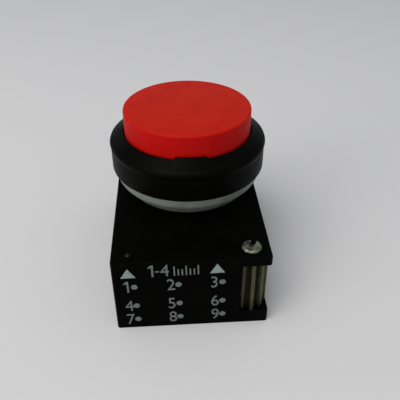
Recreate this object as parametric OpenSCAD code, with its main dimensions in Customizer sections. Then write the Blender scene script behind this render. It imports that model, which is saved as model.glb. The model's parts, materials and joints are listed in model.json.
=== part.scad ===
// Panel push button: a raised round button head clamped to a rectangular contact block.
// The origin is the foot of the button's axis on the block's base face. +Z is the way the
// button stands out of the panel, -Y is the printed front face of the block.

/* [Block] */
// Width of the block, left to right
block_w = 27; // [25:0.5:34]
// Depth of the block, front to rear
block_d = 40; // [37:0.5:52]
// How far the button's axis lies to the right of the block's centre line
axis_shift = 0.57; // [0:0.01:1]
// Distance from the button's axis to the front face
front_reach = 25.1; // [24:0.1:30]
// Thickness of the base plate and of the corner recess's floor
base_t = 2.8; // [2.6:0.1:4]
// Height inside the housing, from the base plate to the deck
housing_h = 10.8; // [10.8:0.1:14]
// Thickness of the housing's deck
top_t = 1.8; // [1.5:0.1:3]
// Thickness of the housing's walls
wall = 1.5; // [1:0.1:2]
// Chamfer on the block's upright corners
corner_cut = 0.3; // [0.1:0.05:0.8]

/* [Button cap] */
// Outer radius of the cap
cap_r = 11.95; // [11:0.05:13]
// Height of the cap's flat top above the collar's foot
cap_top = 11.62; // [11.2:0.02:14]
// Rounding of the cap's top edge
cap_round = 0.5; // [0.2:0.05:1]
// Thickness of the cap's wall
cap_wall = 1.4; // [1:0.1:2]
// Thickness of the cap's top
cap_roof = 1.5; // [1:0.1:2]
// How far the button travels
travel = 4; // [3:0.1:4.2]

/* [Collar] */
// Outer radius of the collar's wall
collar_r = 14.72; // [14.4:0.02:16]
// How far the collar's lip stands out of its wall
lip_out = 0.16; // [0.05:0.01:0.4]
// Height of the lip above the collar's foot
lip_h = 5.52; // [4:0.02:6]
// Height of the collar's inner edge above its foot
collar_h = 7.36; // [7:0.02:7.5]
// Rounding of the collar's foot
foot_round = 0.35; // [0.2:0.05:0.9]
// Rounding of the collar's lip and inner edge
edge_round = 0.35; // [0.2:0.05:0.4]
// Width of the raised tab at the front of the collar's inner edge
tab_w = 5.4; // [4:0.1:8]
// Height of the tab above the inner edge
tab_h = 0.35; // [0.2:0.05:0.5]
// Thickness of the collar's floor
collar_floor = 0.77; // [0.6:0.01:1]
// Thickness of the gasket between collar and barrel
gasket_t = 0.3; // [0.2:0.05:0.5]

/* [Panel neck] */
// Outer radius of the neck that passes through the panel
neck_r = 11; // [10.8:0.05:11.4]
// Gap between the block and the collar, where the panel is clamped
panel_gap = 4.33; // [4:0.01:6]
// Outer radius of the panel seal under the collar
seal_r = 14.2; // [13:0.05:14.3]
// Outer radius of the panel seal's foot on the block
seal_foot_r = 11.74; // [11.5:0.02:12.5]
// Height of the panel seal's thick upper band
seal_band = 1.3; // [0.6:0.1:2]

/* [Barrel and plunger] */
// Thickness of the barrel's flange above the collar's floor
flange_t = 0.6; // [0.5:0.05:0.8]
// Thickness of the neck's wall
neck_wall = 1.2; // [1:0.05:1.4]
// Outer radius of the barrel's tail below the deck
tail_r = 9.6; // [9.4:0.05:10]
// Length of the barrel's tail below the deck
tail_len = 1.6; // [1.5:0.1:2]
// Thickness of the spring seat inside the barrel
seat_t = 1; // [0.8:0.1:1.5]
// Outer radius of the plunger's stem
stem_r = 7.05; // [6.8:0.05:7.1]
// Thickness of the stem's wall
stem_wall = 1.45; // [1.2:0.05:2]
// Thickness of the barrel's guide sleeve
sleeve_wall = 0.7; // [0.5:0.05:0.75]
// Height of the guide sleeve above the spring seat
sleeve_h = 5; // [3:0.1:5.4]
// Section radius of the plunger's O-ring
o_ring_r = 0.4; // [0.3:0.05:0.5]
// Wire radius of the return spring
return_wire = 0.4; // [0.3:0.05:0.4]
// Number of turns of the return spring
return_turns = 4.5; // [3:0.5:4.5]
// Thickness of the retaining clip under the deck
clip_t = 0.8; // [0.6:0.1:0.8]
// Outer radius of the retaining clip
clip_r = 11.2; // [10.8:0.05:11.25]
// Depth of the clip's groove in the barrel
clip_groove = 0.5; // [0.3:0.05:0.8]
// Angle of the clip's opening
clip_gap = 60; // [30:5:90]

/* [Clamp] */
// Radius of the thumb nut over its ribs
nut_r = 3; // [2.8:0.05:3.2]
// Number of ribs on the thumb nut
nut_ribs = 10; // [8:1:12]
// Radius of each groove in the thumb nut
nut_groove_r = 0.62; // [0.4:0.02:0.66]
// Gap between the thumb nut and the right side of the block
nut_side_gap = 0.18; // [0.1:0.02:0.5]
// Width of the corner recess that shows the thumb nut
recess_w = 5.23; // [5:0.01:6]
// Depth of the corner recess
recess_d = 5.2; // [5:0.1:6]
// Thickness of the pocket's wall round the thumb nut
pocket_wall = 1.2; // [1:0.1:1.5]
// Radius of the clamp screw
clamp_r = 1.775; // [1.5:0.025:1.9]
// How far the clamp screw stands out of the deck at rest
clamp_proud = 0.25; // [0:0.05:0.5]
// Radius of the locating pin
pin_r = 0.45; // [0.3:0.05:0.6]
// How far the locating pin stands out of the deck
pin_proud = 0.25; // [0.1:0.05:0.5]
// Distance of the locating pin from the block's left side
pin_in_x = 2.82; // [2:0.02:4]
// Distance of the locating pin from the block's front
pin_in_y = 2; // [1.5:0.1:3]

/* [Contacts] */
// Distance from the button's axis to the middle of each contact unit
unit_x = 3.35; // [3.3:0.05:3.4]
// Distance from the button's axis to the contact points, front and rear
contact_y = 7.6; // [7.6:0.1:7.7]
// Width of each contact carrier
carrier_w = 5.4; // [5.2:0.1:5.4]
// Depth of each contact carrier
carrier_d = 6.4; // [6:0.1:6.4]
// Width of the contact bridges
bridge_w = 3.4; // [2.8:0.1:3.4]
// Thickness of the contact bridges
bridge_t = 0.7; // [0.5:0.05:0.7]
// Radius of the contact tips
tip_r = 1; // [0.8:0.05:1.1]
// Height of the contact tips
tip_h = 0.4; // [0.3:0.05:0.4]
// Gap between a pair of closed contact tips
tip_gap = 0.05; // [0.02:0.01:0.1]
// Wire radius of the carriers' springs
unit_wire = 0.18; // [0.1:0.02:0.2]
// Mean radius of the carriers' springs
unit_spring_r = 1; // [0.8:0.05:1.1]

/* [Terminals] */
// Length of each wire clamp, along the wire
clamp_l = 5.2; // [4.5:0.1:5.2]
// Width of each wire clamp
clamp_w = 4.6; // [4.4:0.1:4.6]
// Radius of the holes through the wire clamps
wire_r = 1.6; // [1.2:0.05:1.7]
// Thickness of the open contact's fixed strips, and of the pads under the other clamps
strip_t = 0.7; // [0.5:0.05:0.7]
// Radius of the terminal screws
term_screw_r = 1.25; // [1:0.05:1.3]
// Radius of the terminal screws' heads
term_head_r = 1.9; // [1.7:0.05:2]
// Radius of the housing screws
case_screw_r = 0.8; // [0.6:0.05:0.9]
// Radius of the housing screws' heads
case_head_r = 1.3; // [1.1:0.05:1.4]

/* [Clearances] */
// How much wider the wire entries are than the wire clamps' holes
entry_gap = 0.3; // [0.3:0.05:0.5]
// Running clearance between the cap and the collar
cap_gap = 0.2; // [0.1:0.05:0.3]
// Running clearance between the stem and its sleeve
stem_gap = 0.08; // [0.05:0.01:0.1]
// Clearance between pieces that slip together and stay put
slip_gap = 0.05; // [0.03:0.01:0.08]
// Clearance round the thumb nut
nut_gap = 0.35; // [0.2:0.05:0.5]
// Clearance at each end of the thumb nut
nut_end_gap = 0.1; // [0.05:0.05:0.2]
// Clearance between the clamp screw and its nut and guide
thread_gap = 0.05; // [0.03:0.01:0.08]
// Clearance between the carriers and their frame
carrier_gap = 0.2; // [0.1:0.05:0.25]
// Clearance between the base plate and the housing
plate_gap = 0.1; // [0.05:0.01:0.2]
// Clearance between the wire clamps and the housing
clamp_gap = 0.2; // [0.1:0.05:0.3]

/* [Hidden] */
$fn = 96;
eps = 0.01;

// Block
left_x = -block_w / 2 - axis_shift;
right_x = block_w / 2 - axis_shift;
front_y = -front_reach;
rear_y = block_d - front_reach;
plate_z = base_t + housing_h;
deck_z = plate_z + top_t;
in_left = left_x + wall;
in_right = right_x - wall;
in_front = front_y + wall;
in_rear = rear_y - wall;

// Thumb nut and its pocket
nut_x = right_x - nut_side_gap - nut_r;
nut_y = front_y + nut_r;
pocket_r = nut_r + nut_gap;
pocket_x = nut_x - pocket_r - pocket_wall;
pocket_y = nut_y + pocket_r + pocket_wall;
first_rib = 21;
groove_out = 0.05;
key_flat = 0.45;
clamp_lift = 0.3;
clamp_foot = base_t + clamp_lift;
flat_reach = 4;
pin_x = left_x + pin_in_x;
pin_y = front_y + pin_in_y;
pin_depth = 1.2;

// Button head
collar_z = deck_z + panel_gap;
floor_z = collar_z + collar_floor;
flange_z = floor_z + gasket_t;
flange_top = flange_z + flange_t;
bore_r = cap_r + cap_gap;
cap_z = collar_z + cap_top;
skirt_z = flange_top + travel + cap_gap;
seat_z = deck_z + seat_t;
tail_z = plate_z - tail_len;
sleeve_r = stem_r + stem_gap;
head_top = cap_z - cap_roof;
head_lift = 0.65;
head_z = skirt_z + head_lift;
head_t = head_top - head_z;
head_r = cap_r - cap_wall - slip_gap;
stem_floor = 1.5;
post_gap = 0.05;
stem_over = 0.2;
spring_clear = 0.5;
spring_r = neck_r - neck_wall - spring_clear - 2 * return_wire;
return_steps = 24;

// Springs of the contact units
closed_wire = 0.12;
closed_turns = 2.5;
open_turns = 3.5;
unit_turns = 4.5;
unit_steps = 12;

// Contact units: the pair on the left is closed at rest, the pair on the right is open
units = [-unit_x, unit_x];
rows = [-contact_y, contact_y];
strip_z = base_t;
open_tip_z = strip_z + strip_t;
open_bridge_z = open_tip_z + tip_h + tip_gap + travel + tip_h;
window_z = open_bridge_z;
window_h = 2.85;
clamp_z = strip_z + strip_t;
clamp_h = 7.5;
closed_strip_z = clamp_z + clamp_h;
closed_strip_t = 0.6;
fixed_tip_h = 0.3;
closed_bridge_z = closed_strip_z - fixed_tip_h - tip_gap - tip_h - bridge_t;
carrier_floor = 1.05;
carrier_z = window_z - carrier_floor;
carrier_roof = 1;
carrier_top = window_z + window_h + carrier_roof;
carrier_post = 3.4;
window_side = 0.2;
pocket_clear = 0.25;
spring_pocket_r = unit_spring_r + unit_wire + pocket_clear;
spring_pocket = 1.2;
carrier_pocket = 0.5;
frame_in_x = unit_x + carrier_w / 2 + carrier_gap;
frame_in_y = carrier_d / 2 + carrier_gap;
frame_wall_x = 1;
frame_wall_y = 1.5;
frame_mid = 2 * (unit_x - carrier_w / 2 - carrier_gap);
frame_gap = 0.2;
frame_top = tail_z - frame_gap;
frame_sill = 0.8;

// Plunger: its stem clears the contact frame at the end of the travel
stem_z = frame_top + travel + stem_over;
o_ring_up = 2;
o_ring_z = stem_z + o_ring_up;
o_ring_out = 0.05;
bridge_over = 1.4;
spring_end = 0.02;
flat_turns = 0.6;

// Terminals
term_left = in_left + clamp_gap + clamp_l / 2;
term_right = in_right - clamp_gap - clamp_l / 2;
wire_up = 3.75;
wire_z = clamp_z + wire_up;
strip_land = 1.2;
strip_w = 2 * (term_screw_r + slip_gap) + strip_land;
term_seat = 2.2;
term_head_h = 1.3;
head_gap = 0.2;
press_w = 1;

// Housing screws
boss_wall = 0.7;
boss_r = case_screw_r + boss_wall;
head_rim = 0.2;
boss_in = plate_gap + case_head_r + head_gap + head_rim;
case_seat = 1.6;
case_head_h = 1.2;
case_cover = 0.4;
case_tip = deck_z - case_cover;
boss_shift = 2.7;
front_boss_y = nut_y + boss_shift;
bosses = [
    [in_left + boss_in, front_boss_y],
    [pocket_x - boss_in, in_front + boss_in],
    [in_left + boss_in, in_rear - boss_in],
    [in_right - boss_in, in_rear - boss_in]
];

// Points of an arc from angle a0 to a1, in n steps
function arc(x, y, r, a0, a1, n = 8) =
    [for (i = [0:n]) [x + r * cos(a0 + (a1 - a0) * i / n), y + r * sin(a0 + (a1 - a0) * i / n)]];

// Height of a spring's wire, as a share of its full rise: flat for the first and last part turn
function rise(turn, turns, flat) = min(1, max(0, (turn - flat) / (turns - 2 * flat)));

// Upright box between two corners
module span(low, high) {
    translate(low) cube(high - low);
}

// Upright block with chamfered corners
module slab(z, h) {
    c = corner_cut;
    translate([0, 0, z])
        linear_extrude(h)
            polygon([
                [left_x + c, front_y], [right_x - c, front_y], [right_x, front_y + c],
                [right_x, rear_y - c], [right_x - c, rear_y], [left_x + c, rear_y],
                [left_x, rear_y - c], [left_x, front_y + c]
            ]);
}

// Rod along +Z
module rod(x, y, z, r, h) {
    translate([x, y, z]) cylinder(r = r, h = h);
}

// Flat ring along +Z
module ring(z, h, r_out, r_in) {
    difference() {
        rod(0, 0, z, r_out, h);
        rod(0, 0, z - eps, r_in, h + 2 * eps);
    }
}

// Coil spring along +Z with part turns laid flat at both ends
module coil(x, y, z, h, r, wire, turns, flat, steps, sides = 6) {
    rings = round(turns * steps);
    lift = h - 2 * (wire + spring_end);
    points = [
        for (i = [0:rings], j = [0:sides - 1])
            let (a = 360 * i / steps, b = 360 * j / sides, d = r + wire * cos(b))
                [d * cos(a), d * sin(a),
                 wire + spring_end + lift * rise(i / steps, turns, flat) + wire * sin(b)]
    ];
    skin = [
        for (i = [0:rings - 1], j = [0:sides - 1])
            let (k = (j + 1) % sides)
                [i * sides + j, (i + 1) * sides + j, (i + 1) * sides + k, i * sides + k]
    ];
    first = [for (j = [0:sides - 1]) j];
    last = [for (j = [0:sides - 1]) rings * sides + sides - 1 - j];
    translate([x, y, z]) polyhedron(points, concat(skin, [first, last]));
}

// Screw with its head below and a slot across the head. The head starts at head_z
module screw(x, y, head_z, head_r, head_h, shank_r, tip_z) {
    slot_w = 0.5;
    slot_depth = 0.6;
    difference() {
        union() {
            rod(x, y, head_z, head_r, head_h);
            rod(x, y, head_z + head_h - eps, shank_r, tip_z - head_z - head_h + eps);
        }
        span([x - head_r - eps, y - slot_w / 2, head_z - eps],
             [x + head_r + eps, y + slot_w / 2, head_z + slot_depth]);
    }
}

module button_cap() {
    r_in = cap_r - cap_wall;
    color("#b02a1c")
        rotate_extrude()
            polygon(concat(
                [[0, cap_z - cap_roof], [r_in, cap_z - cap_roof], [r_in, skirt_z], [cap_r, skirt_z]],
                arc(cap_r - cap_round, cap_z - cap_round, cap_round, 0, 90),
                [[0, cap_z]]
            ));
}

module plunger() {
    hollow_r = stem_r - stem_wall;
    groove_r = stem_r + o_ring_out - 2 * o_ring_r;
    groove_h = 2 * (o_ring_r + slip_gap);
    color("#d8d6cc")
        difference() {
            union() {
                rod(0, 0, head_z, head_r, head_t);
                rod(0, 0, stem_z, stem_r, head_z - stem_z + eps);
            }
            rod(0, 0, stem_z + stem_floor, hollow_r, head_top);
            translate([0, 0, o_ring_z]) ring(-groove_h / 2, groove_h, stem_r + 1, groove_r);
        }
}

module plunger_o_ring() {
    color("#1d1d1d")
        translate([0, 0, o_ring_z])
            rotate_extrude()
                translate([stem_r + o_ring_out - o_ring_r, 0]) circle(r = o_ring_r, $fn = 32);
}

module return_spring() {
    color("#b9bcc0")
        coil(0, 0, seat_z, head_z - seat_z, spring_r, return_wire, return_turns, flat_turns,
             return_steps);
}

module front_collar() {
    lip_r = collar_r + lip_out;
    lip_z = collar_z + lip_h;
    edge_z = collar_z + collar_h;
    lip_band = 1.1;
    slope = 56;
    tab_root = 0.6;
    tab_t = 0.7;
    color("#161616") {
        rotate_extrude()
            polygon(concat(
                [[neck_r + slip_gap, floor_z], [neck_r + slip_gap, collar_z]],
                arc(collar_r - foot_round, collar_z + foot_round, foot_round, -90, 0),
                [[collar_r, lip_z - lip_band]],
                arc(lip_r - edge_round, lip_z - edge_round, edge_round, 0, slope),
                arc(bore_r + edge_round, edge_z - edge_round, edge_round, slope, 180),
                [[bore_r, floor_z]]
            ));
        intersection() {
            ring(edge_z - tab_root, tab_root + tab_h, bore_r + tab_t, bore_r);
            span([-tab_w / 2, -collar_r, floor_z], [tab_w / 2, 0, edge_z + tab_h]);
        }
    }
}

module collar_gasket() {
    color("#2a2a2a") ring(floor_z, gasket_t, bore_r - slip_gap, neck_r + slip_gap);
}

module barrel() {
    neck_in = neck_r - neck_wall;
    groove_z = plate_z - clip_t - slip_gap;
    color("#202020")
        rotate_extrude()
            polygon([
                [sleeve_r, tail_z], [tail_r, tail_z], [tail_r, groove_z],
                [tail_r - clip_groove, groove_z], [tail_r - clip_groove, plate_z],
                [tail_r, plate_z], [tail_r, deck_z], [neck_r, deck_z], [neck_r, flange_z],
                [bore_r - slip_gap, flange_z], [bore_r - slip_gap, flange_top],
                [neck_in, flange_top], [neck_in, seat_z], [sleeve_r + sleeve_wall, seat_z],
                [sleeve_r + sleeve_wall, seat_z + sleeve_h], [sleeve_r, seat_z + sleeve_h]
            ]);
}

module panel_seal() {
    color("#787c77")
        rotate_extrude()
            polygon([
                [neck_r + slip_gap, deck_z], [seal_foot_r, deck_z],
                [seal_r, collar_z - seal_band], [seal_r, collar_z], [neck_r + slip_gap, collar_z]
            ]);
}

module retaining_clip() {
    color("#a8abad")
        difference() {
            ring(plate_z - clip_t, clip_t, clip_r, tail_r - clip_groove + slip_gap);
            translate([0, 0, plate_z - clip_t - eps])
                linear_extrude(clip_t + 2 * eps)
                    polygon([
                        [0, 0],
                        [2 * clip_r * sin(clip_gap / 2), 2 * clip_r * cos(clip_gap / 2)],
                        [-2 * clip_r * sin(clip_gap / 2), 2 * clip_r * cos(clip_gap / 2)]
                    ]);
        }
}

// The pocket round the thumb nut, as a solid block in the housing's front right corner
module pocket_block(gap = 0) {
    span([pocket_x - gap, front_y, -1], [right_x, pocket_y + gap, plate_z + 1]);
}

// Stubs under the deck that hold down the outer ends of the strips and wire clamps
module hold_downs() {
    for (y = rows) {
        span([in_left + clamp_gap, y - press_w, closed_strip_z + closed_strip_t],
             [in_left + clamp_gap + press_w, y + press_w, plate_z + eps]);
        span([in_right - clamp_gap - press_w, y - press_w, closed_strip_z],
             [in_right - clamp_gap, y + press_w, plate_z + eps]);
    }
}

// Hole for a wire, along +X
module wire_hole(x, y, r, l) {
    translate([x, y, wire_z]) rotate([0, 90, 0]) cylinder(r = r, h = l);
}

module housing() {
    color("#121212")
        difference() {
            union() {
                difference() {
                    slab(0, deck_z);
                    difference() {
                        span([in_left, in_front, -1], [in_right, in_rear, plate_z]);
                        pocket_block();
                    }
                }
                for (b = bosses) rod(b[0], b[1], base_t, boss_r, housing_h + eps);
                hold_downs();
            }
            span([right_x - recess_w, front_y - 1, base_t], [right_x + 1, front_y + recess_d, plate_z]);
            rod(nut_x, nut_y, base_t, pocket_r, housing_h);
            clamp_shape(plate_z - 1, top_t + 2, thread_gap);
            rod(0, 0, plate_z - 1, tail_r + slip_gap, top_t + 2);
            rod(pin_x, pin_y, deck_z - pin_depth, pin_r + slip_gap, pin_depth + 1);
            for (b = bosses) rod(b[0], b[1], 0, case_screw_r + slip_gap, case_tip + slip_gap);
            for (y = rows) {
                wire_hole(left_x - 1, y, wire_r + entry_gap, wall + 2);
                wire_hole(in_right - 1, y, wire_r + entry_gap, wall + 2);
            }
        }
}

module base_plate() {
    color("#151515")
        difference() {
            union() {
                difference() {
                    span([in_left + plate_gap, in_front + plate_gap, 0],
                         [in_right - plate_gap, in_rear - plate_gap, base_t]);
                    pocket_block(plate_gap);
                }
                for (y = rows)
                    span([term_left - clamp_l / 2, y - clamp_w / 2, base_t - eps],
                         [term_left + clamp_l / 2, y + clamp_w / 2, clamp_z]);
            }
            for (b = bosses) {
                rod(b[0], b[1], -1, case_head_r + head_gap, case_seat + 1);
                rod(b[0], b[1], 0, case_screw_r + slip_gap, base_t + 1);
            }
            for (x = [term_left, term_right], y = rows) {
                rod(x, y, -1, term_head_r + head_gap, term_seat + 1);
                rod(x, y, 0, term_screw_r + slip_gap, clamp_z + 1);
            }
            for (x = units) rod(x, 0, base_t - spring_pocket, spring_pocket_r, spring_pocket + 1);
        }
}

module housing_screws() {
    color("#8f9294")
        for (b = bosses)
            screw(b[0], b[1], case_seat - case_head_h, case_head_r, case_head_h, case_screw_r, case_tip);
}

module thumb_nut() {
    h = housing_h - 2 * nut_end_gap;
    color("#6e6e58")
        translate([nut_x, nut_y, base_t + nut_end_gap])
            difference() {
                cylinder(r = nut_r, h = h);
                translate([0, 0, -1]) cylinder(r = clamp_r + thread_gap, h = h + 2);
                for (i = [0:nut_ribs - 1])
                    rotate(first_rib + 180 / nut_ribs + 360 * i / nut_ribs)
                        translate([nut_r + groove_out, 0, -1]) cylinder(r = nut_groove_r, h = h + 2, $fn = 32);
            }
}

// Clamp screw's outline with its key flat, grown by a clearance
module clamp_shape(z, h, gap) {
    difference() {
        rod(nut_x, nut_y, z, clamp_r + gap, h);
        span([nut_x - flat_reach, nut_y + clamp_r - key_flat + gap, z - 1],
             [nut_x + flat_reach, nut_y + flat_reach, z + h + 1]);
    }
}

module clamp_screw() {
    top = deck_z + clamp_proud;
    slot_w = 0.7;
    slot_depth = 1;
    slot_turn = 72;
    color("#8b8f7c")
        difference() {
            clamp_shape(clamp_foot, top - clamp_foot, 0);
            translate([nut_x, nut_y, top - slot_depth])
                rotate(slot_turn) translate([-3, -slot_w / 2, 0]) cube([6, slot_w, slot_depth + 1]);
        }
}

module locating_pin() {
    color("#9c9f9a") rod(pin_x, pin_y, deck_z - pin_depth, pin_r, pin_depth + pin_proud);
}

module contact_frame() {
    slot = bridge_w / 2 + carrier_gap;
    out_x = frame_in_x + frame_wall_x;
    out_y = frame_in_y + frame_wall_y;
    color("#c9c4b4")
        difference() {
            span([-out_x, -out_y, base_t], [out_x, out_y, frame_top]);
            for (x = units) {
                span([min(sign(x) * frame_mid / 2, sign(x) * frame_in_x), -frame_in_y, 0],
                     [max(sign(x) * frame_mid / 2, sign(x) * frame_in_x), frame_in_y, frame_top + 1]);
                span([x - slot, -out_y - 1, base_t + frame_sill], [x + slot, out_y + 1, frame_top + 1]);
            }
        }
}

module carrier(x) {
    window = bridge_w / 2 + window_side;
    color("#e4e1d6")
        difference() {
            union() {
                span([x - carrier_w / 2, -carrier_d / 2, carrier_z],
                     [x + carrier_w / 2, carrier_d / 2, carrier_top]);
                span([x - carrier_post / 2, -carrier_post / 2, carrier_top - eps],
                     [x + carrier_post / 2, carrier_post / 2, stem_z - post_gap]);
            }
            span([x - window, -carrier_d, window_z], [x + window, carrier_d, window_z + window_h]);
            rod(x, 0, carrier_z - 1, spring_pocket_r, carrier_pocket + 1);
        }
}

module closed_carrier() {
    carrier(-unit_x);
}

module open_carrier() {
    carrier(unit_x);
}

module bridge(x, z) {
    reach = contact_y + bridge_over;
    color("#c08a50")
        span([x - bridge_w / 2, -reach, z], [x + bridge_w / 2, reach, z + bridge_t]);
}

module closed_bridge() {
    bridge(-unit_x, closed_bridge_z);
}

module open_bridge() {
    bridge(unit_x, open_bridge_z);
}

module closed_contact_spring() {
    color("#b9bcc0")
        coil(-unit_x, 0, window_z, closed_bridge_z - window_z, unit_spring_r, closed_wire, closed_turns, 0,
             unit_steps);
}

module open_contact_spring() {
    z = open_bridge_z + bridge_t;
    color("#b9bcc0")
        coil(unit_x, 0, z, window_z + window_h - z, unit_spring_r, unit_wire, open_turns, 0, unit_steps);
}

module unit_return_spring(x) {
    z = base_t - spring_pocket;
    color("#b9bcc0")
        coil(x, 0, z, carrier_z + carrier_pocket - z, unit_spring_r, unit_wire, unit_turns, flat_turns,
             unit_steps);
}

module closed_return_spring() {
    unit_return_spring(-unit_x);
}

module open_return_spring() {
    unit_return_spring(unit_x);
}

module closed_fixed_strips() {
    color("#c08a50")
        for (y = rows)
            span([in_left + clamp_gap, y - strip_w / 2, closed_strip_z],
                 [-unit_x + strip_w / 2, y + strip_w / 2, closed_strip_z + closed_strip_t]);
}

module open_fixed_strips() {
    color("#c08a50")
        for (y = rows)
            difference() {
                span([unit_x - strip_w / 2, y - strip_w / 2, strip_z],
                     [in_right - clamp_gap, y + strip_w / 2, strip_z + strip_t]);
                rod(term_right, y, 0, term_screw_r + slip_gap, base_t + 2);
            }
}

module tips(x, z, h) {
    color("#dcdcd6")
        for (y = rows) rod(x, y, z, tip_r, h);
}

module closed_fixed_tips() {
    tips(-unit_x, closed_strip_z - fixed_tip_h, fixed_tip_h);
}

module open_fixed_tips() {
    tips(unit_x, open_tip_z, tip_h);
}

module closed_bridge_tips() {
    tips(-unit_x, closed_bridge_z + bridge_t, tip_h);
}

module open_bridge_tips() {
    tips(unit_x, open_bridge_z - tip_h, tip_h);
}

module wire_clamps() {
    color("#a9acae")
        for (x = [term_left, term_right], y = rows)
            difference() {
                span([x - clamp_l / 2, y - clamp_w / 2, clamp_z],
                     [x + clamp_l / 2, y + clamp_w / 2, clamp_z + clamp_h]);
                wire_hole(x - clamp_l, y, wire_r, 2 * clamp_l);
                rod(x, y, 0, term_screw_r + slip_gap, wire_z);
            }
}

module terminal_screws() {
    tip_z = wire_z - wire_r - slip_gap;
    color("#b4b7b9")
        for (x = [term_left, term_right], y = rows)
            screw(x, y, term_seat - term_head_h, term_head_r, term_head_h, term_screw_r, tip_z);
}

button_cap();
plunger();
plunger_o_ring();
return_spring();
front_collar();
collar_gasket();
barrel();
panel_seal();
retaining_clip();
housing();
base_plate();
housing_screws();
thumb_nut();
clamp_screw();
locating_pin();
contact_frame();
closed_carrier();
open_carrier();
closed_bridge();
open_bridge();
closed_contact_spring();
open_contact_spring();
closed_return_spring();
open_return_spring();
closed_fixed_strips();
open_fixed_strips();
closed_fixed_tips();
open_fixed_tips();
closed_bridge_tips();
open_bridge_tips();
wire_clamps();
terminal_screws();
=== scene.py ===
"""Looks of the panel push button: fine shapes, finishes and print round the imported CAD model."""

import json
import math

import bmesh
import bpy
from mathutils import Matrix, Vector


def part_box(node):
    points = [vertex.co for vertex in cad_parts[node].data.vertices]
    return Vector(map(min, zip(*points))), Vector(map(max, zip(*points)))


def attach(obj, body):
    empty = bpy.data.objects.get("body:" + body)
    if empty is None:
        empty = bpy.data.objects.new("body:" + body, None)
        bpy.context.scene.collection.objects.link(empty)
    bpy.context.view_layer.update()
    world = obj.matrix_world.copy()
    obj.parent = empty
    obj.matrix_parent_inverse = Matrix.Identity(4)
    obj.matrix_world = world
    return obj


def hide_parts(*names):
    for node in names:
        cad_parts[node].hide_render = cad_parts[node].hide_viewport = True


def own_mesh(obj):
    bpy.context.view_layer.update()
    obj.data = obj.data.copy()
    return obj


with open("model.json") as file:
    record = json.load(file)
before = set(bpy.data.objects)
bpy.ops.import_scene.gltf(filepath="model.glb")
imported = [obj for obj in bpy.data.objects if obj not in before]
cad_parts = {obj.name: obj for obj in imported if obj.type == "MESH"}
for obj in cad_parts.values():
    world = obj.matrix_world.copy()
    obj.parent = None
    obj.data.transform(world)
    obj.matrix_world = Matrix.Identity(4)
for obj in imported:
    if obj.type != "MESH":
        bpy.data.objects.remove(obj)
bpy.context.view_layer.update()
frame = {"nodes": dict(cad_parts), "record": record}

MM = 0.001
scene = bpy.context.scene
scene.view_settings.view_transform = "Standard"


# ---------------------------------------------------------------- places, from the frame

def low(node):
    """Lowest corner of a CAD node's box, at rest."""
    return Vector(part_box(node)[0])


def high(node):
    """Highest corner of a CAD node's box, at rest."""
    return Vector(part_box(node)[1])


def radius(node):
    """Outer radius of a round node, from its width."""
    return (high(node).x - low(node).x) / 2


def middle(node):
    """Centre of a CAD node's box."""
    return (low(node) + high(node)) / 2


FRONT = low("housing").y
LEFT = low("housing").x
RIGHT = high("housing").x
DECK = high("housing").z
NUT_R = radius("thumb_nut")
SCREW_Y = low("clamp_screw").y + radius("clamp_screw")
NUT_AXIS = Vector((middle("clamp_screw").x, SCREW_Y, middle("thumb_nut").z))


# ---------------------------------------------------------------- camera, light and floor

CAMERA_PLACE = Vector((-3.5, -88.7, 73.5)) * MM
CAMERA_TURN = math.radians(3.8)
CAMERA_DIP = math.radians(35.7)
CAMERA_LENS = 46.9
SENSOR = 36
SKY_COLOUR = (0.93, 0.96, 1.0, 1)
SKY_STRENGTH = 0.46
BACKDROP = (0.50, 0.51, 0.53, 1)
FLOOR_COLOUR = (0.595, 0.590, 0.595, 1)
FLOOR_HALF = 2.0
FLOOR_INSET = 0.5 * MM


def make_camera():
    """The camera looks down at the button from in front, a little to its left."""
    level = math.cos(CAMERA_DIP)
    ahead = Vector((math.sin(CAMERA_TURN) * level, math.cos(CAMERA_TURN) * level, -math.sin(CAMERA_DIP)))
    data = bpy.data.cameras.new("camera")
    data.lens = CAMERA_LENS
    data.sensor_width = SENSOR
    data.clip_start = 5 * MM
    camera = bpy.data.objects.new("camera", data)
    camera.location = CAMERA_PLACE
    camera.rotation_euler = ahead.to_track_quat("-Z", "Y").to_euler()
    scene.collection.objects.link(camera)
    scene.camera = camera


def area_light(name, place, target, size, watts, colour):
    data = bpy.data.lights.new(name, "AREA")
    data.shape = "DISK"
    data.size = size
    data.energy = watts
    data.color = colour
    light = bpy.data.objects.new(name, data)
    light.location = place
    light.rotation_euler = (Vector(target) - Vector(place)).to_track_quat("-Z", "Y").to_euler()
    scene.collection.objects.link(light)


def make_light():
    """Even sky light with a plain grey backdrop, a wide lamp overhead and a softer one from the left."""
    world = bpy.data.worlds.new("studio")
    world.use_nodes = True
    tree = world.node_tree
    light = tree.nodes["Background"]
    light.inputs["Color"].default_value = SKY_COLOUR
    light.inputs["Strength"].default_value = SKY_STRENGTH
    seen = tree.nodes.new("ShaderNodeBackground")
    seen.inputs["Color"].default_value = BACKDROP
    choice = tree.nodes.new("ShaderNodeMixShader")
    path = tree.nodes.new("ShaderNodeLightPath")
    tree.links.new(path.outputs["Is Camera Ray"], choice.inputs["Fac"])
    tree.links.new(light.outputs["Background"], choice.inputs[1])
    tree.links.new(seen.outputs["Background"], choice.inputs[2])
    tree.links.new(choice.outputs["Shader"], tree.nodes["World Output"].inputs["Surface"])
    scene.world = world
    area_light("overhead", place=(-0.16, -0.16, 0.52), target=(0, 0, 0), size=0.50, watts=2.0,
               colour=(1.0, 0.99, 0.97))
    area_light("left_window", place=(-0.50, -0.35, 0.30), target=(0, 0, 0.02), size=0.40, watts=1.2,
               colour=(1.0, 0.99, 0.96))


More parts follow.
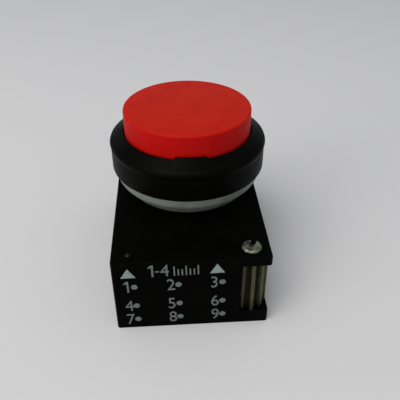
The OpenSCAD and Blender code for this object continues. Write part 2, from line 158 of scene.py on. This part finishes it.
def make_floor():
    """Wide floor, open just inside the block's outline so that light reaches its underside."""
    left, right = LEFT + FLOOR_INSET, RIGHT - FLOOR_INSET
    front, rear = FRONT + FLOOR_INSET, high("housing").y - FLOOR_INSET
    outer = [(x * FLOOR_HALF, y * FLOOR_HALF) for x, y in ((-1, -1), (1, -1), (1, 1), (-1, 1))]
    inner = [(left, front), (right, front), (right, rear), (left, rear)]
    points = [(x, y, 0) for x, y in outer + inner]
    mesh = bpy.data.meshes.new("floor")
    mesh.from_pydata(points, [], [(k, (k + 1) % 4, 4 + (k + 1) % 4, 4 + k) for k in range(4)])
    floor = bpy.data.objects.new("floor", mesh)
    scene.collection.objects.link(floor)
    material = bpy.data.materials.new("floor")
    material.use_nodes = True
    shader = material.node_tree.nodes["Principled BSDF"]
    shader.inputs["Base Color"].default_value = FLOOR_COLOUR
    shader.inputs["Roughness"].default_value = 0.9
    shader.inputs["Specular IOR Level"].default_value = 0.2
    mesh.materials.append(material)


make_camera()
make_light()
make_floor()


# ---------------------------------------------------------------- materials

# Places of the colour sockets in Blender's Mix node, which repeats its socket names for each kind of data.
COLOUR_INPUTS = (6, 7)
COLOUR_OUTPUT = 2


class Finish:
    """A node material under construction: one shader, with textures in the object's own space."""

    def __init__(self, name):
        self.material = bpy.data.materials.new(name)
        self.material.use_nodes = True
        self.tree = self.material.node_tree
        self.shader = self.tree.nodes["Principled BSDF"]
        self.space = self.add("ShaderNodeTexCoord").outputs["Object"]

    def add(self, kind, **settings):
        node = self.tree.nodes.new(kind)
        for key, value in settings.items():
            setattr(node, key, value)
        return node

    def link(self, source, target):
        self.tree.links.new(source, target)

    def fix(self, **values):
        """Sets constants on the shader's own sockets."""
        for key, value in values.items():
            self.shader.inputs[key.replace("_", " ")].default_value = value

    def noise(self, size, detail, stretch=(1, 1, 1), rough=0.5):
        """Noise whose features are about that size in metres, as a socket from 0 to 1."""
        mapping = self.add("ShaderNodeMapping")
        mapping.inputs["Scale"].default_value = stretch
        self.link(self.space, mapping.inputs["Vector"])
        texture = self.add("ShaderNodeTexNoise")
        texture.inputs["Scale"].default_value = 1 / size
        texture.inputs["Detail"].default_value = detail
        texture.inputs["Roughness"].default_value = rough
        self.link(mapping.outputs["Vector"], texture.inputs["Vector"])
        return texture.outputs["Fac"]

    def remap(self, socket, start, end, to_start, to_end):
        """Stretches the range start to end onto another range, and holds its ends."""
        node = self.add("ShaderNodeMapRange")
        for key, value in zip(("From Min", "From Max", "To Min", "To Max"), (start, end, to_start, to_end)):
            node.inputs[key].default_value = value
        self.link(socket, node.inputs["Value"])
        return node.outputs["Result"]

    def math(self, operation, first, second):
        """Result of two values, each a number or a socket, by Blender's name for the operation."""
        node = self.add("ShaderNodeMath", operation=operation)
        for index, value in enumerate((first, second)):
            if isinstance(value, (int, float)):
                node.inputs[index].default_value = value
            else:
                self.link(value, node.inputs[index])
        return node.outputs[0]

    def mix(self, factor, first, second):
        """Mix of two colours, each a colour or a socket."""
        node = self.add("ShaderNodeMix", data_type="RGBA")
        self.link(factor, node.inputs["Factor"])
        for index, value in zip(COLOUR_INPUTS, (first, second)):
            if isinstance(value, tuple):
                node.inputs[index].default_value = (*value, 1)
            else:
                self.link(value, node.inputs[index])
        return node.outputs[COLOUR_OUTPUT]

    def edges(self, width):
        """1 on sharp edges and 0 on flats, over a band of that width in metres."""
        bevel = self.add("ShaderNodeBevel", samples=6)
        bevel.inputs["Radius"].default_value = width
        normal = self.add("ShaderNodeNewGeometry").outputs["Normal"]
        dot = self.add("ShaderNodeVectorMath", operation="DOT_PRODUCT")
        self.link(bevel.outputs["Normal"], dot.inputs[0])
        self.link(normal, dot.inputs[1])
        return self.remap(self.math("SUBTRACT", 1.0, dot.outputs["Value"]), 0.01, 0.12, 0, 1)

    def mottle(self):
        """Slow clouds from 0 to 1, a few millimetres across."""
        return self.remap(self.noise(4 * MM, 4), 0.35, 0.65, 0, 1)

    def edge_wear_and_highlight(self, width, least):
        """Mask along sharp edges, in a band of that width, in patches that go from least to 1, for edge wear
        and painted edge highlights.
        """
        patches = self.remap(self.noise(1.5 * MM, 4), 0.35, 0.6, least, 1)
        return self.math("MULTIPLY", self.edges(width), patches)

    def painted_top_light(self):
        """Mask for painted light on top faces: 0 on walls and 1 on faces that look straight up."""
        parts = self.add("ShaderNodeSeparateXYZ")
        self.link(self.add("ShaderNodeNewGeometry").outputs["Normal"], parts.inputs["Vector"])
        return self.remap(parts.outputs["Z"], 0.2, 0.95, 0, 1)

    def bump(self, layers):
        """Stacks (height socket, depth in metres) layers into the shader's normal."""
        previous = None
        for socket, depth in layers:
            node = self.add("ShaderNodeBump")
            node.inputs["Distance"].default_value = depth
            node.inputs["Strength"].default_value = 1.0
            self.link(socket, node.inputs["Height"])
            if previous is not None:
                self.link(previous, node.inputs["Normal"])
            previous = node.outputs["Normal"]
        self.link(previous, self.shader.inputs["Normal"])

    def colour(self, socket):
        self.link(socket, self.shader.inputs["Base Color"])

    def roughness(self, noise, least, most):
        """Patchy roughness between two values, which follows a noise socket."""
        self.link(self.remap(noise, 0.3, 0.7, least, most), self.shader.inputs["Roughness"])


def moulded(name, deep, pale, rough, edge=None, specular=0.45):
    """Moulded plastic: slow mottle between two shades, fine grain, and edges a little paler, part wear and
    part painted highlight.
    """
    finish = Finish(name)
    colour = finish.mix(finish.mottle(), deep, pale)
    specks = finish.remap(finish.noise(0.25 * MM, 2), 0.68, 0.78, 0, 0.35)
    colour = finish.mix(specks, colour, pale)
    # Paler edges: part wear, part painted highlight.
    if edge:
        colour = finish.mix(finish.edge_wear_and_highlight(0.18 * MM, 0.25), colour, edge)
    finish.colour(colour)
    finish.roughness(finish.noise(0.9 * MM, 4), *rough)
    finish.bump([(finish.noise(0.12 * MM, 3), 0.003 * MM), (finish.noise(3 * MM, 2), 0.02 * MM)])
    finish.fix(Specular_IOR_Level=specular)
    return finish.material


def cap_plastic(name):
    """Satin red plastic: crimson sides, a top face a little more orange as painted light from above, and a
    rim painted paler as a painted highlight.
    """
    finish = Finish(name)
    mottle = finish.mottle()
    # Side and top shades of the same red: the top one, a little more orange, is painted light from above.
    side = finish.mix(mottle, (0.42, 0.0016, 0.0012), (0.45, 0.0036, 0.0022))
    top = finish.mix(mottle, (0.40, 0.0068, 0.0009), (0.43, 0.0112, 0.0018))
    colour = finish.mix(finish.painted_top_light(), side, top)
    # Paler red along the rim: painted highlight.
    finish.colour(finish.mix(finish.edge_wear_and_highlight(0.45 * MM, 0.55), colour, (1.0, 0.050, 0.012)))
    finish.roughness(finish.noise(0.9 * MM, 4), 0.46, 0.56)
    finish.bump([(finish.noise(0.1 * MM, 3), 0.002 * MM), (finish.noise(3 * MM, 2), 0.02 * MM)])
    finish.fix(Specular_IOR_Level=0.065)
    return finish.material


def metal(name, colour, dull, rough):
    """Plated metal with stains and fine tool marks."""
    finish = Finish(name)
    stain = finish.remap(finish.noise(1.1 * MM, 5, rough=0.6), 0.4, 0.62, 0, 1)
    finish.colour(finish.mix(stain, colour, dull))
    finish.roughness(finish.noise(0.4 * MM, 4), *rough)
    finish.bump([(finish.noise(0.4 * MM, 4), 0.004 * MM)])
    finish.fix(Metallic=1.0)
    return finish.material


def ribbed_nut(name):
    """Dull olive plating with stains, darker in the grooves and towards the foot as painted shade, so that
    the ribs stand out.
    """
    finish = Finish(name)
    offset = finish.add("ShaderNodeVectorMath", operation="SUBTRACT")
    finish.link(finish.space, offset.inputs[0])
    offset.inputs[1].default_value = NUT_AXIS
    parts = finish.add("ShaderNodeSeparateXYZ")
    finish.link(offset.outputs["Vector"], parts.inputs["Vector"])
    squares = [finish.math("MULTIPLY", parts.outputs[side], parts.outputs[side]) for side in "XY"]
    reach = finish.math("SQRT", finish.math("ADD", *squares), 0.0)
    # Darker in the grooves between the ribs: painted shade.
    groove_painted_shade = finish.remap(reach, NUT_R - 0.50 * MM, NUT_R - 0.03 * MM, 0, 1)
    stains = finish.remap(finish.noise(0.8 * MM, 4, (3, 3, 0.5)), 0.35, 0.65, 0.55, 1)
    foot = low("thumb_nut").z - NUT_AXIS.z
    # Darker towards the foot of the nut: painted shade.
    foot_painted_shade = finish.remap(parts.outputs["Z"], foot, foot + 3.6 * MM, 0.12, 1)
    bright = finish.math("MULTIPLY", finish.math("MULTIPLY", groove_painted_shade, stains), foot_painted_shade)
    finish.colour(finish.mix(bright, (0.008, 0.008, 0.003), (0.125, 0.125, 0.076)))
    finish.roughness(finish.noise(0.5 * MM, 3, (4, 4, 0.5)), 0.42, 0.65)
    finish.bump([(finish.noise(0.4 * MM, 4, (6, 6, 0.6)), 0.004 * MM)])
    finish.fix(Metallic=1.0)
    return finish.material


def rubber(name, deep, pale):
    """Matt rubber with slow clouds between two shades."""
    finish = Finish(name)
    cloud = finish.remap(finish.noise(3.5 * MM, 4, (1, 1, 0.6)), 0.35, 0.65, 0, 1)
    finish.colour(finish.mix(cloud, deep, pale))
    finish.roughness(finish.noise(0.6 * MM, 3), 0.65, 0.85)
    finish.bump([(finish.noise(0.15 * MM, 3), 0.005 * MM), (finish.noise(1.2 * MM, 2), 0.01 * MM)])
    finish.fix(Specular_IOR_Level=0.35)
    return finish.material


MATERIALS = {
    "cap_red": cap_plastic("cap_red"),
    # The edge colours of the black plastics are paler edges: part wear, part painted highlight.
    "collar_black": moulded("collar_black", (0.0006, 0.0007, 0.0004), (0.0013, 0.0014, 0.0009), (0.36, 0.50),
                            edge=(0.005, 0.005, 0.003), specular=0.030),
    "block_black": moulded("block_black", (0.0004, 0.0005, 0.0003), (0.0010, 0.0011, 0.0008), (0.42, 0.58),
                           edge=(0.008, 0.008, 0.005), specular=0.018),
    "seal_grey": rubber("seal_grey", (0.182, 0.200, 0.170), (0.252, 0.276, 0.252)),
    "dark_rubber": rubber("dark_rubber", (0.012, 0.012, 0.012), (0.02, 0.02, 0.02)),
    "pale_plastic": moulded("pale_plastic", (0.62, 0.59, 0.50), (0.70, 0.68, 0.60), (0.4, 0.55)),
    "nut_metal": ribbed_nut("nut_metal"),
    "screw_metal": metal("screw_metal", (0.29, 0.30, 0.24), (0.050, 0.070, 0.042), (0.25, 0.5)),
    "screw_steel": metal("screw_steel", (0.62, 0.63, 0.62), (0.42, 0.43, 0.41), (0.25, 0.45)),
    "spring_steel": metal("spring_steel", (0.60, 0.61, 0.63), (0.42, 0.42, 0.43), (0.2, 0.35)),
    "contact_copper": metal("contact_copper", (0.78, 0.42, 0.20), (0.48, 0.25, 0.13), (0.25, 0.45)),
    "contact_silver": metal("contact_silver", (0.86, 0.85, 0.82), (0.60, 0.59, 0.55), (0.15, 0.3)),
}


def printed(name, worn, full):
    """White print, thin and a little worn."""
    finish = Finish(name)
    patchy = finish.remap(finish.noise(0.35 * MM, 4), 0.35, 0.62, 0, 1)
    finish.colour(finish.mix(patchy, worn, full))
    finish.roughness(finish.noise(0.3 * MM, 3), 0.5, 0.75)
    finish.bump([(finish.noise(0.2 * MM, 3), 0.004 * MM)])
    return finish.material


PRINT_FULL = printed("print_full", (0.185, 0.226, 0.222), (0.252, 0.300, 0.300))
PRINT_THIN = printed("print_thin", (0.092, 0.116, 0.110), (0.135, 0.162, 0.156))
PIN_DULL = metal("pin_dull", (0.030, 0.031, 0.029), (0.014, 0.014, 0.013), (0.45, 0.6))


# ---------------------------------------------------------------- shapes

def new_piece(name, mesh, material, body, smooth=35):
    """Smooth piece that rides on a body. Edges sharper than that many degrees stay crisp."""
    mesh.materials.clear()
    mesh.materials.append(material)
    mesh.polygons.foreach_set("use_smooth", [True] * len(mesh.polygons))
    mesh.set_sharp_from_angle(angle=math.radians(smooth))
    piece = bpy.data.objects.new(name, mesh)
    scene.collection.objects.link(piece)
    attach(piece, body)
    return piece


def mesh_of(name, points, faces):
    """Mesh whose faces all look outwards."""
    mesh = bpy.data.meshes.new(name)
    mesh.from_pydata(points, [], faces)
    build = bmesh.new()
    build.from_mesh(mesh)
    bmesh.ops.recalc_face_normals(build, faces=build.faces)
    build.to_mesh(mesh)
    build.free()
    return mesh


def rounded(corners, steps=8):
    """Outline through (radius, height, rounding) corners, in order, with each corner rounded off."""
    outline = []
    count = len(corners)
    for index, (r, z, size) in enumerate(corners):
        here = Vector((r, z))
        if size == 0:
            outline.append(here)
            continue
        back = (Vector(corners[index - 1][:2]) - here).normalized()
        on = (Vector(corners[(index + 1) % count][:2]) - here).normalized()
        half = back.angle(on) / 2
        centre = here + (back + on).normalized() * size / math.sin(half)
        start = here + back * size / math.tan(half) - centre
        turn = start.angle_signed(here + on * size / math.tan(half) - centre)
        outline += [centre + Matrix.Rotation(-turn * k / steps, 2) @ start for k in range(steps + 1)]
    return outline


def circle(r, steps):
    """Points of a circle about the origin."""
    angles = [2 * math.pi * k / steps for k in range(steps)]
    return [(r * math.cos(a), r * math.sin(a)) for a in angles]


ON_AXIS = 0.0001 * MM


def lathe(name, corners, steps=192, centre=(0, 0)):
    """Closed turned mesh about the vertical line through centre. Corners on the axis are shared points."""
    points, rings, faces = [], [], []
    for r, z in rounded(corners):
        if r < ON_AXIS:
            rings.append([len(points)] * steps)
            points.append((centre[0], centre[1], z))
            continue
        rings.append(list(range(len(points), len(points) + steps)))
        points += [(centre[0] + x, centre[1] + y, z) for x, y in circle(r, steps)]
    for index, ring in enumerate(rings):
        other = rings[(index + 1) % len(rings)]
        for k in range(steps):
            quad = [ring[k], ring[(k + 1) % steps], other[(k + 1) % steps], other[k]]
            face = [p for n, p in enumerate(quad) if p not in quad[:n]]
            if len(face) > 2:
                faces.append(face)
    return mesh_of(name, points, faces)


def sector(name, corners, start, end, steps=24):
    """Part of a turned ring between two angles, with closed ends."""
    outline = rounded(corners)
    count = len(outline)
    points, faces = [], []
    for k in range(steps + 1):
        a = start + (end - start) * k / steps
        points += [(r * math.cos(a), r * math.sin(a), z) for r, z in outline]
    for k in range(steps):
        for n in range(count):
            m = (n + 1) % count
            faces.append((k * count + n, k * count + m, (k + 1) * count + m, (k + 1) * count + n))
    faces.append(tuple(range(count)))
    faces.append(tuple(range(steps * count, (steps + 1) * count)))
    return mesh_of(name, points, faces)


def tube(name, path, wire, sides=10):
    """Wire of round section along a path, with flat ends."""
    points, faces = [], []
    for index, place in enumerate(path):
        ahead = (path[min(index + 1, len(path) - 1)] - path[max(index - 1, 0)]).normalized()
        across = ahead.cross(Vector((0, 0, 1))).normalized()
        up = across.cross(ahead)
        points += [place + x * across + y * up for x, y in circle(wire, sides)]
    for index in range(len(path) - 1):
        first, second = index * sides, (index + 1) * sides
        for k in range(sides):
            n = (k + 1) % sides
            faces.append((first + k, first + n, second + n, second + k))
    faces.append(tuple(range(sides)))
    faces.append(tuple(range(len(points) - sides, len(points))))
    return mesh_of(name, points, faces)


FLAT_TURNS = 0.6


def coil_path(centre_x, bottom, top, mean, wire, turns, steps=40):
    """Centre line of a coil spring at y = 0, whose first and last part turns lie flat."""
    lift = top - bottom - 2 * wire
    path = []
    for k in range(round(turns * steps) + 1):
        turn = k / steps
        share = min(1, max(0, (turn - FLAT_TURNS) / (turns - 2 * FLAT_TURNS)))
        angle = 2 * math.pi * turn
        height = bottom + wire + lift * share
        path.append(Vector((centre_x + mean * math.cos(angle), mean * math.sin(angle), height)))
    return path


# ---------------------------------------------------------------- CAD nodes keep their shape and get a finish

SLOTS = {part["node"]: part["material_slot"] for part in frame["record"]["subparts"]}


def soften(node, width, angle=40):
    """Rounds a CAD node's edges that are sharper than that angle in degrees, with modifiers."""
    thing = frame["nodes"][node]
    weld = thing.modifiers.new("weld", "WELD")
    weld.merge_threshold = 0.002 * MM
    flat = thing.modifiers.new("flat", "DECIMATE")
    flat.decimate_type = "DISSOLVE"
    flat.angle_limit = math.radians(0.5)
    bevel = thing.modifiers.new("bevel", "BEVEL")
    bevel.width = width
    bevel.segments = 3
    bevel.limit_method = "ANGLE"
    bevel.angle_limit = math.radians(angle)
    bevel.harden_normals = True


for node, thing in frame["nodes"].items():
    for slot in thing.material_slots:
        slot.material = MATERIALS[SLOTS[node]]

soften("housing", 0.22 * MM)
soften("base_plate", 0.15 * MM)
soften("thumb_nut", 0.08 * MM, 30)
for node in ("contact_frame", "closed_carrier", "open_carrier", "wire_clamps", "closed_bridge", "open_bridge",
             "closed_fixed_strips", "open_fixed_strips"):
    soften(node, 0.1 * MM)


# ---------------------------------------------------------------- button head

def make_cap():
    """Hollow cap, open below, with a rounded rim."""
    r, top, skirt = radius("button_cap"), high("button_cap").z, low("button_cap").z
    wall, roof, edge = 1.4 * MM, 1.5 * MM, 0.45 * MM
    corners = [(0, top, 0), (r, top, edge), (r, skirt, 0.15 * MM), (r - wall, skirt, 0.15 * MM),
               (r - wall, top - roof, 0.2 * MM), (0, top - roof, 0)]
    piece = new_piece("cap_shell", lathe("cap_shell", corners), MATERIALS["cap_red"], "button")
    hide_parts("button_cap")


def make_collar():
    """Cup round the cap: a neck hole in its floor, a lip outside, and a top that slopes up to the bore."""
    foot = low("front_collar").z
    floor = foot + 0.77 * MM
    lip_z = foot + 5.52 * MM
    edge = high("front_collar").z - 0.35 * MM
    lip_r = radius("front_collar")
    wall_r = lip_r - 0.16 * MM
    bore = radius("button_cap") + 0.2 * MM
    neck = radius("barrel") - 1.05 * MM
    corners = [(neck, foot, 0.1 * MM), (wall_r, foot, 0.4 * MM), (wall_r, lip_z - 1.2 * MM, 0.6 * MM),
               (lip_r, lip_z - 0.35 * MM, 0.2 * MM), (lip_r - 0.20 * MM, lip_z + 0.14 * MM, 0.3 * MM),
               (bore, edge, 0.12 * MM), (bore, floor, 0.1 * MM), (neck, floor, 0.1 * MM)]
    piece = new_piece("collar_ring", lathe("collar_ring", corners), MATERIALS["collar_black"], "block")
    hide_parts("front_collar")
    make_tab(bore, edge, high("front_collar").z)


def make_tab(bore, edge, top):
    """Raised index tab at the front of the collar's inner edge."""
    half_width = 2.7 * MM
    inside = bore + 0.02 * MM
    corners = [(inside, edge - 0.6 * MM, 0), (bore + 1.0 * MM, edge - 1.6 * MM, 0),
               (bore + 1.95 * MM, edge - 1.34 * MM, 0), (bore + 0.35 * MM, top, 0.15 * MM),
               (inside, top, 0.1 * MM)]
    reach = math.asin(half_width / bore)
    front = -math.pi / 2
    mesh = sector("collar_tab", corners, front - reach, front + reach)
    new_piece("collar_tab", mesh, MATERIALS["collar_black"], "block")


def make_seal():
    """Seal that widens from a narrow foot on the block to the collar, in a curve."""
    foot, top, r = low("panel_seal").z, high("panel_seal").z, radius("panel_seal")
    neck, foot_r = 11.05 * MM, 11.78 * MM
    corners = [(neck, foot, 0), (foot_r, foot, 0.15 * MM), (r - 0.35 * MM, top - 1.9 * MM, 2.0 * MM),
               (r, top - 0.4 * MM, 0.3 * MM), (r, top, 0.1 * MM), (neck, top, 0)]
    piece = new_piece("seal_cone", lathe("seal_cone", corners), MATERIALS["seal_grey"], "block")
    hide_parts("panel_seal")


make_cap()
make_collar()
make_seal()


# ---------------------------------------------------------------- clamp screw, pin and springs

PITCH = 0.6 * MM
THREAD_DEPTH = 0.22 * MM
PLAIN_END = 0.9 * MM
CHAMFER = 0.35 * MM
SCREW_CREASE = 28
SLOT_HALF = 0.46 * MM
SLOT_TURN = math.radians(66)


def apply_modifiers(piece):
    """Replaces the piece's mesh with the result of its modifiers."""
    evaluated = piece.evaluated_get(bpy.context.evaluated_depsgraph_get())
    mesh = bpy.data.meshes.new_from_object(evaluated)
    piece.modifiers.clear()
    piece.data = mesh


def screw_mesh(bottom, top, r, key_flat, steps=96, rows=12):
    """Shank with a cut thread and a chamfered end, cut off flat at the rear where the housing keys it."""
    rings = int((top - PLAIN_END - bottom) / PITCH * rows)
    points, faces = [], []

    def add_ring(z, radii):
        for k, reach in enumerate(radii):
            a = 2 * math.pi * k / steps
            y = min(NUT_AXIS.y + reach * math.sin(a), key_flat)
            points.append((NUT_AXIS.x + reach * math.cos(a), y, z))

    for row in range(rings + 1):
        fade = min(1, (rings - row) / rows, row / rows)
        phases = [(row / rows - k / steps) % 1 for k in range(steps)]
        radii = [r - THREAD_DEPTH * (1 - abs(2 * phase - 1)) * fade for phase in phases]
        add_ring(bottom + PITCH * row / rows, radii)
    add_ring(top - CHAMFER, [r] * steps)
    add_ring(top - CHAMFER * 0.4, [r - CHAMFER * 0.35] * steps)
    add_ring(top, [r - CHAMFER] * steps)
    last = len(points) - steps
    for first in range(0, last, steps):
        for k in range(steps):
            n = (k + 1) % steps
            faces.append((first + k, first + n, first + steps + n, first + steps + k))
    faces.append(tuple(range(steps)))
    faces.append(tuple(range(last, len(points))))
    return mesh_of("clamp_screw_thread", points, faces)


def slot_cutter(top):
    """Wedge for the screwdriver slot: it slopes down from one side and runs out through the other."""
    build = bmesh.new()
    ramp = [(-0.75, 0.3), (-0.6, -0.05), (0.35, -0.75), (2.4, -0.95), (2.4, 0.3)]
    ring = [[build.verts.new((x * MM, side * SLOT_HALF, z * MM)) for x, z in ramp] for side in (-1, 1)]
    build.faces.new(ring[0])
    build.faces.new(ring[1][::-1])
    for k in range(len(ramp)):
        n = (k + 1) % len(ramp)
        build.faces.new((ring[0][n], ring[0][k], ring[1][k], ring[1][n]))
    place = Matrix.Translation((NUT_AXIS.x, NUT_AXIS.y, top)) @ Matrix.Rotation(SLOT_TURN, 4, "Z")
    bmesh.ops.transform(build, matrix=place, verts=build.verts)
    bmesh.ops.recalc_face_normals(build, faces=build.faces)
    mesh = bpy.data.meshes.new("slot_cutter")
    build.to_mesh(mesh)
    build.free()
    cutter = bpy.data.objects.new("slot_cutter", mesh)
    scene.collection.objects.link(cutter)
    return cutter


def make_clamp_screw():
    """Threaded screw with a slot cut in its upper end."""
    bottom, top = low("clamp_screw").z, high("clamp_screw").z
    mesh = screw_mesh(bottom, top, radius("clamp_screw"), high("clamp_screw").y)
    piece = new_piece("clamp_screw_thread", mesh, MATERIALS["screw_metal"], "clamp_screw",
                      SCREW_CREASE)
    cutter = slot_cutter(top)
    cut = piece.modifiers.new("slot", "BOOLEAN")
    cut.operation = "DIFFERENCE"
    cut.solver = "EXACT"
    cut.object = cutter
    apply_modifiers(piece)
    bpy.data.objects.remove(cutter)
    piece.data.set_sharp_from_angle(angle=math.radians(SCREW_CREASE))
    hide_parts("clamp_screw")


def make_pin():
    """Pin with a domed top."""
    bottom, top, r = low("locating_pin").z, high("locating_pin").z, radius("locating_pin")
    axis = middle("locating_pin")
    corners = [(0, bottom, 0), (r, bottom, 0), (r, top, 0.22 * MM), (0, top, 0)]
    piece = new_piece("pin_dome", lathe("pin_dome", corners, 48, (axis.x, axis.y)), PIN_DULL,
                      "block")
    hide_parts("locating_pin")


def make_spring(node, wire, turns):
    """Return spring: a coil of wire in place of the CAD node."""
    bottom, top, centre = low(node).z, high(node).z, middle(node)
    mean = (high(node).y - low(node).y) / 2 - wire
    path = coil_path(centre.x, bottom, top, mean, wire, turns)
    name = node + "_coil"
    piece = new_piece(name, tube(name, path, wire), MATERIALS["spring_steel"], "block")
    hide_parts(node)
    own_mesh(piece)


TURNS = 4.5

make_clamp_screw()
make_pin()
make_spring("return_spring", 0.4 * MM, TURNS)
make_spring("closed_return_spring", 0.18 * MM, TURNS)
make_spring("open_return_spring", 0.18 * MM, TURNS)


# ---------------------------------------------------------------- print on the front face

PRINT_DEPTH = 0.02 * MM
PRINT_TILT = math.radians(1.2)
PRINT_PIVOT = Vector(((LEFT + RIGHT) / 2 - 3 * MM, FRONT, DECK - 8 * MM))
NARROW = 0.84
DOT_R = 0.55 * MM
TRIANGLE_HALF = 1.28 * MM
TRIANGLE_HEIGHT = 2.05 * MM


def glyph_mesh(text, height):
    """Flat numeral outline of that height, lower left corner at the origin, in the XZ plane, facing -Y."""
    data = bpy.data.curves.new("glyph", "FONT")
    data.body = text
    data.size = 1
    data.extrude = 0.5
    data.resolution_u = 6
    thing = bpy.data.objects.new("glyph", data)
    scene.collection.objects.link(thing)
    mesh = bpy.data.meshes.new_from_object(thing.evaluated_get(bpy.context.evaluated_depsgraph_get()))
    bpy.data.objects.remove(thing)
    points = [v.co for v in mesh.vertices]
    left, right = min(p.x for p in points), max(p.x for p in points)
    foot, top = min(p.y for p in points), max(p.y for p in points)
    scale = height / (top - foot)
    for v in mesh.vertices:
        x, y, z = v.co
        v.co = ((x - left) * scale * NARROW, -(z + 0.5) * PRINT_DEPTH, (y - foot) * scale)
    return mesh


def one_mesh(height):
    """The numeral 1 with its flag, lower left corner at the origin."""
    stem, flag, right = 0.13 * height, 0.20 * height, 0.40 * height
    outline = [(right, 0), (right, height), (right - stem, height), (right - stem - flag, height * 0.84),
               (right - stem - flag, height * 0.71), (right - stem, height * 0.82), (right - stem, 0)]
    return prism(outline)


def prism(outline):
    """Thin plate with this outline of (x, z) points, standing just out of the front face."""
    count = len(outline)
    points = [(x, 0, z) for x, z in outline] + [(x, -PRINT_DEPTH, z) for x, z in outline]
    faces = [tuple(range(count)), tuple(range(count, 2 * count))]
    faces += [(k, (k + 1) % count, count + (k + 1) % count, count + k) for k in range(count)]
    return mesh_of("mark", points, faces)


class Print:
    """Marks on the front face, placed in millimetres right of its left edge and below its top edge."""

    def __init__(self):
        self.build = bmesh.new()

    def stamp(self, mesh, right, down):
        """Puts a mark there, with all marks tilted together about one point."""
        place = Vector((LEFT + right * MM, FRONT, DECK - down * MM))
        tilt = Matrix.Rotation(-PRINT_TILT, 4, "Y")
        mesh.transform(Matrix.Translation(PRINT_PIVOT) @ tilt @ Matrix.Translation(place - PRINT_PIVOT))
        self.build.from_mesh(mesh)
        bpy.data.meshes.remove(mesh)

    def numeral(self, text, right, down, height):
        """Numeral whose upper left corner is at that place."""
        mesh = one_mesh(height * MM) if text == "1" else glyph_mesh(text, height * MM)
        self.stamp(mesh, right, down + height)

    def dot(self, right, down):
        self.stamp(prism(circle(DOT_R, 40)), right, down)

    def triangle(self, right, down):
        """Pointing up, with its apex at that place."""
        corners = [(0, 0), (TRIANGLE_HALF, -TRIANGLE_HEIGHT), (-TRIANGLE_HALF, -TRIANGLE_HEIGHT)]
        self.stamp(prism(corners), right, down)

    def bar(self, right, down, width, height):
        """Upright rectangle whose upper left corner is at that place."""
        w, h = width * MM, height * MM
        self.stamp(prism([(0, 0), (w, 0), (w, -h), (0, -h)]), right, down)

    def finish(self, name, material):
        """Makes one piece of all the marks stamped so far."""
        mesh = bpy.data.meshes.new(name)
        self.build.to_mesh(mesh)
        self.build.free()
        new_piece(name, mesh, material, "block")


def make_heading(marks):
    """The plain range 1-4 and a row of ruler ticks, each third one tall."""
    down, height = 0.5, 2.6
    marks.numeral("1", 6.1, down, height)
    marks.bar(7.45, 1.85, 0.65, 0.28)
    marks.numeral("4", 8.3, down, height)
    first_tick, tick_step, tick_width = 10.5, 0.67, 0.24
    for k in range(7):
        tick_down, tick_height = (1.7, 1.4) if k % 3 else (1.0, 2.1)
        marks.bar(first_tick + tick_step * k, tick_down, tick_width, tick_height)


def make_rows(marks):
    """The numbers 1 to 9 in three rows, each with a dot to its right."""
    numeral_height = 2.55
    for r, down in enumerate((3.85, 8.35, 11.75)):
        for c, right in enumerate((1.75, 9.25, 16.75)):
            marks.numeral(str(3 * r + c + 1), right, down, numeral_height)
            marks.dot(right + 1.95, down + 1.35)


def make_print():
    """Two pieces: thin print for the numerals, and fuller print for the two triangles."""
    marks = Print()
    make_rows(marks)
    make_heading(marks)
    marks.finish("front_numerals", PRINT_THIN)
    arrows = Print()
    for right in (2.85, 17.85):
        arrows.triangle(right, 1.0)
    arrows.finish("front_triangles", PRINT_FULL)


make_print()
